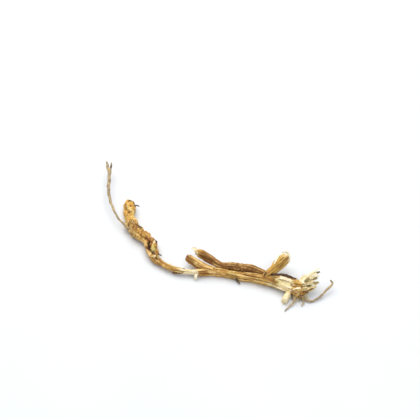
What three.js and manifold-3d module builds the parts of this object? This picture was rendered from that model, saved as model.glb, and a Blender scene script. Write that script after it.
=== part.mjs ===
// One dried nettle root, lying on a table. Millimetres, +Z up.
// It grew as one piece: a gnarled knot at the left, a thin neck with its bark torn away,
// a furrowed body with a finer strand grown along its back, three broken side branches,
// a frayed end of pale wood splinters, and a few thin rootlets.
import * as THREE from "three";
import { mergeVertices } from "three/addons/utils/BufferGeometryUtils.js";
import Module from "manifold-3d";

const wasm = await Module();
wasm.setup();

// Driving sizes
const BARK = 0.35; // how far the bark stands above bare wood
const RING_STEP = 1.7; // between the rings of a limb
const FINE_STEP = 1.15; // between the rings of the knot
const BLADE = 0.65; // thickness of the thinnest splinter
const UP = new THREE.Vector3(0, 0, 1);

// Limbs
// points are [x, y, z, radius] along the middle of the limb. ridges run along the bark, furrow is
// their depth, twist turns them in radians for each mm. A lump is [distance along, degrees round
// from the top, width, height], and a pit has a negative height. A bare patch is
// [from, to, degrees round, half its spread in degrees]. warts are small bumps and pits drawn at
// random over a stretch. fine is the length of the stretch with closer rings. head and tail are
// the lengths over which the ends close, and torn is how ragged they are.
const NO_WARTS = { count: 0, from: 0, to: 0, width: [1, 1], height: [0, 0] };

const MAIN = {
  points: [
    [-48.9, 27.5, 2.9, 2.6],
    [-48.8, 21.5, 3.2, 3.35],
    [-48.7, 15.5, 3.2, 2.7],
    [-47.8, 10.5, 3.2, 2.1],
    [-45.8, 4, 3.8, 3.2],
    [-42.8, -1.5, 4, 3.2],
    [-38.3, -5.6, 3.6, 2.6],
    [-35.3, -10.2, 3, 3],
    [-34.3, -15.3, 2.8, 2.9],
    [-32.9, -19.5, 2.6, 2.45],
    [-31, -23.2, 2.4, 2],
    [-27.5, -26.5, 2.5, 1.7],
    [-23.5, -29.3, 2.6, 1.7],
    [-18.5, -31.8, 2.8, 1.65],
    [-12, -33.1, 2.8, 1.75],
    [-8, -33.3, 2.8, 2.15],
    [0, -32.3, 2.4, 2.4],
    [9, -33.8, 2.3, 2.5],
    [18, -36.7, 2.6, 2.6],
    [27, -39.2, 3, 2.75],
    [36, -42.2, 3.4, 3.25],
    [44, -45.8, 3.7, 4.1],
    [49, -47.8, 3.9, 3.7],
  ],
  sides: 22,
  ridges: 11,
  furrow: 0.4,
  twist: 0.012,
  fine: 55,
  head: 1.4,
  tail: 1.2,
  torn: 1.1,
  lumps: [
    [0.8, -10, 1.7, -1.4],
    [4, 55, 2.6, 1],
    [5, -80, 1.7, -1.2],
    [7.5, -50, 2.2, 0.8],
    [9.5, 30, 1.4, -1.2],
    [10, 110, 2.5, 0.7],
    [12.5, -8, 1.3, -1.1],
    [13, 65, 1.5, 0.7],
    [21, 95, 2, 1],
    [23, -25, 1.9, 1],
    [25, -62, 1.4, -1.5],
    [26, 8, 1.5, -1],
    [28.5, -90, 2.2, 1.1],
    [29, 42, 2.2, 0.8],
    [32, -125, 2, 0.9],
    [33.5, -70, 1.6, -0.9],
    [34, 80, 2, 0.6],
    [36, -25, 2.2, 0.9],
    [39, -85, 1.5, -1.4],
    [40.5, -118, 2.2, 1],
    [42.5, 12, 1.9, -2],
    [43, 65, 2, 0.8],
    [43, -42, 1.3, 1.1],
    [46.5, -46, 1.4, 1.1],
    [47, 24, 1.6, -1.7],
    [49.5, -90, 1.8, 0.7],
    [50.5, 0, 1.3, -1.3],
    [51.5, 60, 1.7, 0.7],
    [85, 150, 2.4, 0.4],
    [100, 75, 3, 0.35],
    [112, 100, 2.2, -0.4],
    [127, 20, 3, 0.5],
    [136, 40, 1.8, -0.7],
    [141, 80, 3, 1.3],
    [143, -30, 2.4, 0.8],
    [141, 150, 2.4, 0.5],
  ],
  warts: { count: 34, from: 2, to: 53, width: [0.9, 1.6], height: [-0.55, 0.6] },
  bare: [
    [71.5, 81.5, 60, 115],
    [125, 136, 70, 100],
  ],
};

const STRAND = {
  points: [
    [-9, -21, 7.1, 1.9],
    [-5, -23.4, 6.8, 2.4],
    [-1, -26.3, 6.3, 2.4],
    [2.5, -28.9, 5.7, 2],
    [5.8, -30.8, 5.2, 1.6],
    [10, -31.3, 5.5, 1.9],
    [15.5, -32.4, 5.6, 2.1],
    [20, -33.2, 5.6, 2.1],
    [25, -34.6, 5.3, 1.8],
    [30, -37.2, 4.9, 1.5],
    [35, -40.2, 4.5, 1.2],
  ],
  sides: 14,
  ridges: 7,
  furrow: 0.34,
  twist: 0.03,
  fine: 0,
  head: 0.5,
  tail: 1.5,
  torn: 0.8,
  lumps: [],
  warts: { count: 14, from: 22, to: 36, width: [0.6, 0.9], height: [0.3, 0.6] },
  bare: [[0, 3, 0, 100]],
};

const LEFT_STUB = {
  points: [
    [-14.3, -23.2, 4.9, 2],
    [-10.5, -26.2, 4.5, 2.25],
    [-7, -29.2, 4.1, 2.3],
    [-3.5, -31.4, 3.7, 2.4],
    [1, -32.8, 3.3, 2.2],
  ],
  sides: 14,
  ridges: 7,
  furrow: 0.22,
  twist: 0.02,
  fine: 0,
  head: 1.5,
  tail: 1,
  torn: 0.1,
  lumps: [[11, 90, 1.4, 0.4]],
  warts: NO_WARTS,
  bare: [],
};

const RIGHT_BRANCH = {
  points: [
    [27.6, -40, 3.8, 1.7],
    [31, -37.6, 5.6, 2],
    [34.3, -35.1, 6.6, 2.4],
    [37.2, -31.7, 7.4, 2.95],
    [40, -28.2, 8, 3.1],
    [41.3, -26.1, 8.2, 3],
  ],
  sides: 18,
  ridges: 9,
  furrow: 0.28,
  twist: 0.03,
  fine: 0,
  head: 1.5,
  tail: 0.6,
  torn: 0.5,
  lumps: [
    [4.5, 15, 2, 0.5],
    [12, -20, 2.5, 0.4],
    [18.7, 0, 2, -0.8],
  ],
  warts: NO_WARTS,
  bare: [],
};

const PEG = {
  points: [
    [43.5, -46.8, 2.8, 1.6],
    [41.6, -49.4, 2.3, 2],
    [40, -52.4, 2.2, 2.2],
    [38.8, -55.3, 2.1, 1.9],
  ],
  sides: 12,
  ridges: 6,
  furrow: 0.15,
  twist: 0.02,
  fine: 0,
  head: 0.8,
  tail: 0.8,
  torn: 0.4,
  lumps: [],
  warts: NO_WARTS,
  bare: [],
};

const LIMBS = [MAIN, STRAND, LEFT_STUB, RIGHT_BRANCH, PEG];

// Rootlets are [x, y, z, radius] along their middle, with few sides.
const ROOTLETS = [
  [[-44, 1, 4, 1.1], [-49, 2.5, 4.6, 0.65], [-55, 10.5, 5.2, 0.6], [-58.5, 18.5, 5.8, 0.65],
    [-61.5, 29, 6.4, 0.85], [-62.5, 38, 6.8, 1], [-63, 50, 7.2, 1], [-64.5, 56, 7.6, 0.9],
    [-65.5, 61, 8, 0.6]],
  [[-63, 48.5, 7.1, 0.8], [-62.4, 55, 7.4, 0.7], [-62.5, 60.5, 7.6, 0.4]],
  [[45, -50, 3, 1], [50, -53, 1.4, 0.6], [53, -54, 0.9, 0.5], [57, -52.5, 1.3, 0.55],
    [61, -48.5, 2.2, 0.6], [64.5, -45, 3.2, 0.65], [65.8, -43, 3.8, 0.6], [64.8, -41, 4.4, 0.4]],
  [[44.5, -49, 3, 1], [44, -55, 1.5, 0.6], [41.5, -58, 0.8, 0.5], [38.5, -61, 0.6, 0.35]],
  [[48, -49.5, 2.6, 0.7], [49.5, -54, 1.1, 0.5], [48, -57.5, 0.7, 0.35]],
  [[-48, 22, 4, 0.9], [-45, 22.6, 4.4, 0.5], [-43, 21.7, 4.1, 0.45]],
  [[-33.5, -17.5, 3.6, 0.9], [-30.2, -19.6, 3.8, 0.5], [-28.3, -20.9, 3.5, 0.45]],
  [[13.2, -36, 2, 0.9], [14.3, -39, 1.3, 0.5], [15.6, -40.6, 0.8, 0.35]],
];
const ROOTLET_SIDES = 5;

// Blades of torn wood and bark are [x, y, z, width] along their middle, with their thickness.
const BLADES = [
  { thick: 0.75, points: [[44.8, -46.4, 4.6, 1.8], [52.5, -41.7, 8.2, 1.4], [58.5, -37.6, 10, 0.9]] },
  { thick: 0.75, points: [[45.4, -45.6, 4.2, 2], [53.8, -40.4, 7, 1.6], [59, -39, 8.4, 1.1]] },
  { thick: 0.75, points: [[45, -46.4, 5, 2], [53.1, -42.1, 8, 1.5], [57, -40.7, 9, 1.1]] },
  { thick: 0.75, points: [[45, -46.8, 4.6, 1.6], [53.6, -43, 7.4, 1.1], [58.4, -41.3, 8, 0.8]] },
  { thick: 0.75, points: [[45.4, -46.2, 4.2, 2], [53.6, -43.1, 6.3, 1.7], [57.3, -42.2, 7, 1.1]] },
  { thick: 0.75, points: [[45, -47.4, 5.2, 1.8], [53.4, -45.5, 7, 1.2], [58, -41.8, 7.4, 0.8]] },
  { thick: 0.75, points: [[45.4, -46.4, 4, 2.2], [54.2, -45.4, 5.2, 1.9], [58.1, -44.5, 5.6, 1.1]] },
  { thick: 0.75, points: [[45, -47.4, 5, 2], [52.7, -46.1, 6.2, 1.4], [56.8, -46.3, 5.4, 0.8]] },
  { thick: 0.75, points: [[45.4, -47.4, 4, 1.8], [52.3, -46.8, 4.8, 1.3], [55.2, -47.2, 4.4, 0.8]] },
  { thick: 0.75, points: [[44.6, -47.8, 4.6, 2], [50.4, -48.4, 5.4, 1.6], [53.1, -48.1, 5, 0.9]] },
  { thick: 0.75, points: [[45, -46.6, 5, 2.2], [49.8, -44.1, 8, 2.3], [51.9, -42.8, 9.4, 1.9]] },
  { thick: 0.75, points: [[46, -47, 5.6, 1], [50.6, -45.9, 8, 1.2], [52.9, -44.8, 8.8, 0.8]] },
  { thick: 0.75, points: [[45, -45.6, 5, 1.8], [48.5, -43.2, 7.8, 1.4], [49.9, -41.6, 9.4, 1]] },
  { thick: 0.75, points: [[50.6, -47, 5.2, 1], [53.4, -43.7, 8.6, 0.8], [53.8, -41.7, 10.4, 0.7]] },
  { thick: 0.75, points: [[44.6, -45.8, 5, 2.6], [48.2, -46.2, 6.9, 2.8], [50.4, -46.6, 7, 1.6]] },
  { thick: 1.2, points: [[43, -49, 3.4, 4.6], [48, -49.6, 3.4, 4.2], [52.5, -47.9, 3.6, 2.6], [55, -46.7, 3.8, 1.2]] },
  { thick: 0.8, points: [[34, -39.8, 5.6, 1.4], [40.6, -40.8, 6.3, 1.4], [45.9, -42.8, 6.3, 1]] },
  { thick: 0.7, points: [[32.5, -40.6, 5, 2], [37, -42.1, 6.8, 2.3], [42, -44.5, 7.2, 1.6]] },
  { thick: 0.7, points: [[31, -41.8, 3.8, 2.2], [36, -45.6, 3.4, 2], [41.5, -48.6, 2.8, 1.2]] },
  { thick: 0.8, points: [[-5, -23.4, 7, 2.4], [-9.5, -20.4, 7.7, 2.2], [-12.4, -18.2, 8.3, 1.1]] },
  { thick: 0.7, points: [[-8.4, -34, 3.6, 2], [-8.9, -36.6, 2.2, 1.6], [-9.2, -37.2, 0.9, 0.8]] },
  { thick: 0.7, points: [[-13.5, -32.7, 2, 1.6], [-18.5, -33, 1.9, 1.4], [-22, -32.2, 1.2, 0.7]] },
];

// The fan of finer splinters between the long ones
const FAN_COUNT = 8;
const FAN_ROOT = [45.5, -46.5, 4.4];
const FAN_WIDTH = 5; // of the torn end that the splinters stand in
const FAN_TURN = [-8, 44]; // degrees round from +X
const FAN_RISE = [2, 30]; // degrees above level
const FAN_LENGTH = [8.5, 13.5];

// A repeatable draw from 0 to 1 for a whole number n
function draw(n) {
  const x = Math.sin(n * 12.9898 + 4.1414) * 43758.5453;
  return x - Math.floor(x);
}

function between([low, high], share) {
  return low + (high - low) * share;
}

// A smooth step from 0 at low to 1 at high
function ramp(low, high, x) {
  return THREE.MathUtils.smoothstep(x, low, high);
}

// The shortest angle from b to a
function turn(a, b) {
  const d = a - b;
  return Math.atan2(Math.sin(d), Math.cos(d));
}

// A curve through the points, with the fourth number carried along it
function pathOf(points) {
  const curve = new THREE.CatmullRomCurve3(
    points.map(([x, y, z]) => new THREE.Vector3(x, y, z)),
    false,
    "catmullrom",
    0.5,
  );
  curve.arcLengthDivisions = 400;
  const length = curve.getLength();
  const fourth = (s) => {
    const t = curve.getUtoTmapping(s / length) * (points.length - 1);
    const i = Math.min(Math.floor(t), points.length - 2);
    return THREE.MathUtils.lerp(points[i][3], points[i + 1][3], ramp(0, 1, t - i));
  };
  const frame = (s) => {
    const u = s / length;
    const along = curve.getTangentAt(u);
    const top = UP.clone().addScaledVector(along, -UP.dot(along)).normalize();
    const side = along.clone().cross(top);
    return { centre: curve.getPointAt(u), along, top, side };
  };
  return { length, fourth, frame };
}

// How bare of bark a limb is at s along it and angle a round it, from 0 to 1
function bareness(limb, s, a) {
  let most = 0;
  for (const [from, to, degrees, spread] of limb.bare) {
    const ragged = 1.2 * Math.sin(5 * a + 0.7) + 0.6 * Math.sin(11 * a);
    const lengthwise = ramp(from - 0.8, from + 0.8, s + ragged) * (1 - ramp(to - 0.5, to + 0.5, s));
    const off = Math.abs(turn(a, THREE.MathUtils.degToRad(degrees)));
    const half = THREE.MathUtils.degToRad(spread);
    most = Math.max(most, lengthwise * (1 - ramp(half - 0.25, half + 0.25, off)));
  }
  return most;
}

// Every lump of a limb, with its warts
function lumpsOf({ lumps, warts }) {
  const small = Array.from({ length: warts.count }, (_, i) => [
    between([warts.from, warts.to], (i + draw(i + 200)) / warts.count),
    360 * draw(i + 240),
    between(warts.width, draw(i + 280)),
    between(warts.height, draw(i + 320)),
  ]);
  return [...lumps, ...small];
}

// The angle at which rib number k runs, at s along a limb
function ribAngle(limb, s, k) {
  return limb.twist * s + 0.12 * Math.sin(0.21 * s + 1.7 * k) + (2 * Math.PI * k) / limb.sides;
}

// The skin's distance from the middle of the limb, for rib k, which is a crest when k is even
function skin(limb, lumps, radius, s, k) {
  const a = ribAngle(limb, s, k);
  const ovals = 1 + 0.07 * Math.cos(2 * a + 0.06 * s) + 0.05 * Math.cos(3 * a - 0.09 * s + 1);
  const valley = k % 2 ? limb.furrow * (0.65 + 0.45 * Math.sin(0.33 * s + 2.1 * k)) : 0;
  let r = radius * ovals - valley - BARK * bareness(limb, s, a);
  for (const [at, degrees, width, height] of lumps) {
    const across = radius * turn(a, THREE.MathUtils.degToRad(degrees));
    r += height * Math.exp(-((s - at) ** 2 + across ** 2) / (width * width));
  }
  return Math.max(r, 0.3 * radius);
}

// Distances along a limb at which its rings stand, closer together where it closes
function stations(length, { head, tail, fine }) {
  const list = [0, 0.06 * head, 0.35 * head];
  for (let s = head; s < length - tail; s += s < fine ? FINE_STEP : RING_STEP) list.push(s);
  list.push(length - tail, length - 0.35 * tail, length - 0.06 * tail, length);
  return list;
}

// A closed geometry from rings of points, with one point at each end
function closedTube(rings, first, last) {
  const sides = rings[0].length;
  const positions = [first, ...rings.flat(), last].flatMap((p) => [p.x, p.y, Math.max(p.z, 0)]);
  const index = [];
  const at = (ring, k) => 1 + ring * sides + (k % sides);
  const end = 1 + rings.length * sides;
  for (let k = 0; k < sides; k++) {
    index.push(0, at(0, k + 1), at(0, k));
    for (let i = 0; i + 1 < rings.length; i++) {
      index.push(at(i, k), at(i, k + 1), at(i + 1, k + 1));
      index.push(at(i, k), at(i + 1, k + 1), at(i + 1, k));
    }
    index.push(end, at(rings.length - 1, k), at(rings.length - 1, k + 1));
  }
  const geometry = new THREE.BufferGeometry();
  geometry.setAttribute("position", new THREE.Float32BufferAttribute(positions, 3));
  geometry.setIndex(index);
  return geometry;
}

function limbGeometry(limb) {
  const path = pathOf(limb.points);
  const lumps = lumpsOf(limb);
  const rings = stations(path.length, limb)
    .slice(1, -1)
    .map((s) => {
      const { centre, along, top, side } = path.frame(s);
      const toEnd = Math.min(s / limb.head, (path.length - s) / limb.tail, 1);
      const closing = Math.sqrt(1 - (1 - toEnd) ** 2);
      const outward = s < path.length / 2 ? -1 : 1;
      const ragged = outward * limb.torn * (1 - ramp(0, 3, Math.min(s, path.length - s)));
      return Array.from({ length: limb.sides }, (_, k) => {
        const a = ribAngle(limb, s, k);
        const r = closing * skin(limb, lumps, path.fourth(s), s, k);
        return centre
          .clone()
          .addScaledVector(top, r * Math.cos(a))
          .addScaledVector(side, r * Math.sin(a))
          .addScaledVector(along, ragged * Math.sin(3.7 * k + 1) * closing);
      });
    });
  return closedTube(rings, path.frame(0).centre, path.frame(path.length).centre);
}

function rootletGeometry(points) {
  const path = pathOf(points);
  const count = Math.max(3, Math.round(path.length / 2.2));
  const rings = Array.from({ length: count + 1 }, (_, i) => {
    const s = (path.length * (i + 0.02)) / (count + 0.04);
    const { centre, top, side } = path.frame(s);
    return Array.from({ length: ROOTLET_SIDES }, (_, k) => {
      const a = (2 * Math.PI * k) / ROOTLET_SIDES;
      const r = path.fourth(s) * (1 + 0.12 * Math.sin(1.9 * i + 2 * k));
      return centre.clone().addScaledVector(top, r * Math.cos(a)).addScaledVector(side, r * Math.sin(a));
    });
  });
  return closedTube(rings, path.frame(0).centre, path.frame(path.length).centre);
}

// A flat tapering blade with a little cup across it, its width kept level
function bladeGeometry({ thick, points }) {
  const path = pathOf(points);
  const count = Math.max(3, Math.round(path.length / 2.5));
  const rings = Array.from({ length: count + 1 }, (_, i) => {
    const s = (path.length * (i + 0.02)) / (count + 0.04);
    const { centre, top, side } = path.frame(s);
    const half = path.fourth(s) / 2;
    const corner = (across, up) =>
      centre.clone().addScaledVector(side, across).addScaledVector(top, up);
    return [
      corner(0, thick / 2),
      corner(half, 0.15 * thick),
      corner(0.8 * half, -thick / 2),
      corner(-0.8 * half, -thick / 2),
      corner(-half, 0.15 * thick),
    ];
  });
  return closedTube(rings, path.frame(0).centre, path.frame(path.length).centre);
}

function fanBlades() {
  const [x, y, z] = FAN_ROOT;
  return Array.from({ length: FAN_COUNT }, (_, i) => {
    const heading = THREE.MathUtils.degToRad(between(FAN_TURN, (i + draw(i)) / FAN_COUNT));
    const rise = THREE.MathUtils.degToRad(between(FAN_RISE, draw(i + 40)));
    const length = between(FAN_LENGTH, draw(i + 80));
    const way = [Math.cos(heading) * Math.cos(rise), Math.sin(heading) * Math.cos(rise), Math.sin(rise)];
    const shift = FAN_WIDTH * ((i + 0.5) / FAN_COUNT - 0.5);
    const point = (reach, width, lift) => [
      x + way[0] * reach - Math.sin(heading) * shift,
      y + way[1] * reach + Math.cos(heading) * shift,
      z + way[2] * reach + lift,
      width,
    ];
    const bow = 1.2 * (draw(i + 160) - 0.5);
    return {
      thick: BLADE,
      points: [point(-0.5, 2.2, 0), point(0.6 * length, 1.7, bow), point(length, 0.8, 0)],
    };
  });
}

function solidOf(geometry) {
  geometry.deleteAttribute("normal");
  geometry.deleteAttribute("uv");
  const merged = mergeVertices(geometry, 1e-4);
  return new wasm.Manifold(
    new wasm.Mesh({
      numProp: 3,
      vertProperties: merged.attributes.position.array,
      triVerts: new Uint32Array(merged.index.array),
    }),
  );
}

function geometryOf(solid) {
  const { vertProperties, triVerts } = solid.getMesh();
  const geometry = new THREE.BufferGeometry();
  geometry.setAttribute("position", new THREE.BufferAttribute(vertProperties, 3));
  geometry.setIndex(new THREE.BufferAttribute(triVerts, 1));
  return geometry;
}

// Fuses the shapes, keeps the one body they make, and fills any hollow that fusing sealed.
function fused(geometries) {
  const whole = geometries.map(solidOf).reduce((a, b) => a.add(b));
  const bodies = whole.decompose();
  return bodies.reduce((a, b) => (b.volume() > a.volume() ? b : a));
}

const rootSolid = fused([
  ...LIMBS.map(limbGeometry),
  ...ROOTLETS.map(rootletGeometry),
  ...[...BLADES, ...fanBlades()].map(bladeGeometry),
]);

const bark = new THREE.MeshStandardMaterial({
  color: new THREE.Color(0.62, 0.42, 0.19),
  roughness: 0.85,
  metalness: 0,
});
const root = new THREE.Mesh(geometryOf(rootSolid), bark);
root.name = "nettle_root";

// The origin is under the middle of the root, on the surface that it lies on.
const box = new THREE.Box3().setFromBufferAttribute(root.geometry.attributes.position);
root.position.set(-(box.min.x + box.max.x) / 2, -(box.min.y + box.max.y) / 2, 0);

const part = new THREE.Group();
part.add(root);

export default part;
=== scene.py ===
"""A dried nettle root on a pale floor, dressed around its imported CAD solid.

The root grew as one piece. Here it has five skins: the barked body with its torn wood, the frayed
crown of splinters, the rootlets, the shreds of bark and wood, and the hair-fine fibres.
Shapes are worked out in millimetres, and become metres when a mesh is made.
"""

import math

import bpy
import numpy as np
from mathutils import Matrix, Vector, noise


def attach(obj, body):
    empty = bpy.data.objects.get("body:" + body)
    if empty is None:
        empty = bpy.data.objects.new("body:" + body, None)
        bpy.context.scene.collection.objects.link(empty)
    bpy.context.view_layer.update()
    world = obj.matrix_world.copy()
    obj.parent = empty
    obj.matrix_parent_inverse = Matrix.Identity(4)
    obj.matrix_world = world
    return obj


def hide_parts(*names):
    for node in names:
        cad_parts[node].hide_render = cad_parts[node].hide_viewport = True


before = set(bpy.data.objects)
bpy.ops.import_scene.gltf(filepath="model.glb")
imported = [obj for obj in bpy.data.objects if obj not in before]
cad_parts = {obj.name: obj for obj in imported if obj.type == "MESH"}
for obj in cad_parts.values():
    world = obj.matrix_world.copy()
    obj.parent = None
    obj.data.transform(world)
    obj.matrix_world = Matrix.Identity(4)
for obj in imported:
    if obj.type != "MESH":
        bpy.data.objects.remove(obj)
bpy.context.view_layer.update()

NODE = "nettle_root"
BODY = "root"
MM = 0.001
CAD_SHIFT = np.array([-0.18, 0.08, 0.0])  # brings the root's middle over the origin
VOXEL = 0.255  # of the joined body
BARK = 0.45  # how far the bark stands above bare wood
CHUNK = 20000  # how many points are measured at a time
UP = np.array([0.0, 0.0, 1.0])

# Limbs
# points are (x, y, z, radius) along the middle. ridges run along the bark, furrow is their depth,
# twist turns them in radians for each mm. A lump is (distance along, degrees round from the top,
# width, height), and a pit has a negative height. A bare patch is (from, to, degrees round, half
# its spread in degrees). head and tail are the lengths over which the ends close.
MAIN = {
    "points": [
        (-48.9, 27.5, 2.9, 2.6),
        (-48.8, 21.5, 3.2, 3.35),
        (-48.7, 15.5, 3.2, 2.7),
        (-47.8, 10.5, 3.2, 2.1),
        (-45.8, 4, 3.8, 3.2),
        (-42.8, -1.5, 4, 3.2),
        (-38.3, -5.6, 3.6, 2.6),
        (-35.3, -10.2, 3, 3),
        (-34.3, -15.3, 2.8, 2.9),
        (-32.9, -19.5, 2.6, 2.45),
        (-31, -23.2, 2.4, 2),
        (-27.5, -26.5, 2.5, 1.7),
        (-23.5, -29.3, 2.6, 1.7),
        (-18.5, -31.8, 2.8, 1.65),
        (-12, -33.1, 2.8, 1.75),
        (-8, -33.3, 2.8, 2.15),
        (0, -32.3, 2.4, 2.4),
        (9, -33.8, 2.3, 2.5),
        (18, -36.7, 2.6, 2.6),
        (27, -39.2, 3, 2.75),
        (36, -42.2, 3.4, 3.25),
        (44, -45.8, 3.7, 4.1),
        (49, -47.8, 3.9, 3.7),
    ],
    "ridges": 11,
    "furrow": 0.4,
    "twist": 0.012,
    "head": 1.4,
    "tail": 1.2,
    "lumps": [
        (0.8, -10, 1.5, -1.6),
        (4, 55, 2.6, 1),
        (5, -80, 1.5, -1.3),
        (7.5, -50, 2.2, 0.8),
        (9.5, 30, 1.2, -1.5),
        (10, 110, 2.5, 0.7),
        (12.5, -8, 1.1, -1.3),
        (13, 65, 1.5, 0.7),
        (21, 95, 2, 1),
        (23, -25, 1.9, 1),
        (25, -62, 1.2, -1.9),
        (26, 8, 1.3, -1.2),
        (28.5, -90, 2.2, 1.1),
        (29, 42, 2.2, 0.8),
        (32, -125, 2, 0.9),
        (33.5, -70, 1.6, -0.9),
        (34, 80, 2, 0.6),
        (36, -25, 2.2, 0.9),
        (39, -85, 1.4, -1.8),
        (40.5, -118, 2.2, 1),
        (42.5, 12, 1.5, -2.4),
        (43, 65, 2, 0.8),
        (43, -42, 1.1, 1.2),
        (46.5, -46, 1.2, 1.2),
        (47, 24, 1.3, -2.2),
        (49.5, -90, 1.8, 0.7),
        (50.5, 0, 1.1, -1.6),
        (51.5, 60, 1.7, 0.7),
        (85, 150, 2.4, 0.4),
        (100, 75, 3, 0.35),
        (112, 100, 2.2, -0.4),
        (127, 20, 3, 0.5),
        (136, 40, 1.8, -0.7),
        (141, 80, 3, 1.3),
        (143, -30, 2.4, 0.8),
        (141, 150, 2.4, 0.5),
    ],
    "bare": [(71.5, 81.5, 60, 115), (127.5, 137, 8, 26), (122, 137, 92, 27), (130, 136, 160, 25)],
}
STRAND = {
    "points": [
        (-9, -21, 7.1, 1.9),
        (-5, -23.4, 6.8, 2.4),
        (-1, -26.3, 6.3, 2.4),
        (2.5, -28.9, 5.7, 2),
        (5.8, -30.8, 5.2, 1.6),
        (10, -31.3, 5.5, 1.9),
        (15.5, -32.4, 5.6, 2.1),
        (20, -33.2, 5.6, 2.1),
        (25, -34.6, 5.3, 1.8),
        (30, -37.2, 4.9, 1.5),
        (35, -40.2, 4.5, 1.2),
    ],
    "ridges": 7,
    "furrow": 0.34,
    "twist": 0.03,
    "head": 0.5,
    "tail": 1.5,
    "lumps": [],
    "bare": [(-2, 2, 0, 180)],
}
LEFT_STUB = {
    "points": [
        (-14.3, -23.2, 4.9, 2),
        (-10.5, -26.2, 4.5, 2.25),
        (-7, -29.2, 4.1, 2.3),
        (-3.5, -31.4, 3.7, 2.4),
        (1, -32.8, 3.3, 2.2),
    ],
    "ridges": 7,
    "furrow": 0.22,
    "twist": 0.02,
    "head": 1.5,
    "tail": 1,
    "lumps": [(11, 90, 1.4, 0.4)],
    "bare": [],
}
RIGHT_BRANCH = {
    "points": [
        (27.6, -40, 3.8, 1.7),
        (31, -37.6, 5.6, 2),
        (34.3, -35.1, 6.6, 2.4),
        (37.2, -31.7, 7.4, 2.95),
        (40, -28.2, 8, 3.1),
        (41.3, -26.1, 8.2, 3),
    ],
    "ridges": 9,
    "furrow": 0.18,
    "twist": 0.03,
    "head": 1.5,
    "tail": 0.6,
    "lumps": [(4.5, 15, 2, 0.5), (12, -20, 2.5, 0.4), (18.7, 0, 2, -0.8)],
    "bare": [(18.4, 30, 0, 180)],
}
PEG = {
    "points": [
        (43.5, -46.8, 2.8, 1.6),
        (41.6, -49.4, 2.3, 2),
        (40, -52.4, 2.2, 2.2),
        (38.8, -55.3, 2.1, 1.9),
    ],
    "ridges": 6,
    "furrow": 0.15,
    "twist": 0.02,
    "head": 0.8,
    "tail": 0.8,
    "lumps": [],
    "bare": [(3, 30, 0, 180)],
}
LIMBS = [MAIN, STRAND, LEFT_STUB, RIGHT_BRANCH, PEG]
KNOT_END = 55  # where the gnarled knot ends, along MAIN
WARTY = (20, 38)  # the granular stretch of STRAND
WOOD_START = 127  # where the torn wood starts, along MAIN
NODE_START = 137  # where the granular end of MAIN starts

# Rootlets are (x, y, z, radius) along their middle.
ROOTLETS = [
    [
        (-44, 1, 4, 1.1),
        (-49, 2.5, 4.6, 0.65),
        (-55, 10.5, 5.2, 0.6),
        (-58.5, 18.5, 5.8, 0.65),
        (-61.5, 29, 6.4, 0.85),
        (-62.5, 38, 6.8, 1),
        (-63, 50, 7.2, 1),
        (-64.5, 56, 7.6, 0.9),
        (-65.5, 61, 8, 0.6),
    ],
    [(-63, 48.5, 7.1, 0.8), (-62.4, 55, 7.4, 0.7), (-62.5, 60.5, 7.6, 0.4)],
    [
        (45, -50, 3, 1),
        (50, -53, 1.4, 0.6),
        (53, -54, 0.9, 0.5),
        (57, -52.5, 1.3, 0.55),
        (61, -48.5, 2.2, 0.6),
        (64.5, -45, 3.2, 0.65),
        (65.8, -43, 3.8, 0.6),
        (64.8, -41, 4.4, 0.4),
    ],
    [(44.5, -49, 3, 0.9), (44.2, -54.5, 1.5, 0.5), (41.5, -58, 0.8, 0.4), (38.5, -61, 0.6, 0.3)],
    [(48, -49.5, 2.6, 0.6), (49.5, -54, 1.1, 0.4), (48, -57.5, 0.7, 0.3)],
    [(-48, 22, 4, 0.9), (-45, 22.6, 4.4, 0.4), (-43, 21.7, 4.1, 0.4)],
    [(-33.5, -17.5, 3.6, 0.9), (-30.2, -19.6, 3.8, 0.4), (-28.3, -20.9, 3.5, 0.4)],
    [(13.2, -36, 2, 0.9), (14.3, -39, 1.3, 0.5), (15.6, -40.6, 0.8, 0.35)],
]

rng = np.random.default_rng(7)


def unit(v):
    return v / np.linalg.norm(v, axis=-1, keepdims=True)


def ramp(low, high, x):
    """A smooth step from 0 at low to 1 at high."""
    t = np.clip((x - low) / (high - low), 0, 1)
    return t * t * (3 - 2 * t)


def turn(a, b):
    """The shortest angle from b to a."""
    return np.arctan2(np.sin(a - b), np.cos(a - b))


def linear(red, green, blue):
    """A colour as the eye names it, 0 to 255, as the light that the shader works in."""
    return tuple(((c / 255 + 0.055) / 1.055) ** 2.4 for c in (red, green, blue)) + (1.0,)


class Path:
    """A smooth curve through points (x, y, z, size), measured along its own length."""

    def __init__(self, points, steps=24):
        p = np.array(points, float)
        q = np.vstack([2 * p[0] - p[1], p, 2 * p[-1] - p[-2]])
        t = np.linspace(0, 1, steps, endpoint=False)[:, None]
        spans = []
        for i in range(len(p) - 1):
            before, a, b, after = q[i : i + 4, :3]
            out, into = (b - before) / 2, (after - a) / 2
            curve = (2 * t**3 - 3 * t**2 + 1) * a + (t**3 - 2 * t**2 + t) * out
            curve = curve + (3 * t**2 - 2 * t**3) * b + (t**3 - t**2) * into
            size = p[i, 3] + (p[i + 1, 3] - p[i, 3]) * ramp(0, 1, t)
            spans.append(np.hstack([curve, size]))
        fine = np.vstack([*spans, p[-1:]])
        self.fine = fine
        self.s = np.append(0, np.cumsum(np.linalg.norm(np.diff(fine[:, :3], axis=0), axis=1)))
        self.length = self.s[-1]
        self.tangent = unit(np.gradient(fine[:, :3], self.s, axis=0))

    def along(self, s, table):
        return np.stack([np.interp(s, self.s, column) for column in table.T], axis=-1)

    def frames(self, s, up=UP):
        """Centre, direction, top and side of the curve at distances s, and its size there."""
        here = self.along(s, self.fine)
        ahead = unit(self.along(s, self.tangent))
        top = unit(up - (ahead @ up)[..., None] * ahead)
        return here[..., :3], ahead, top, np.cross(ahead, top), here[..., 3]


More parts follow.
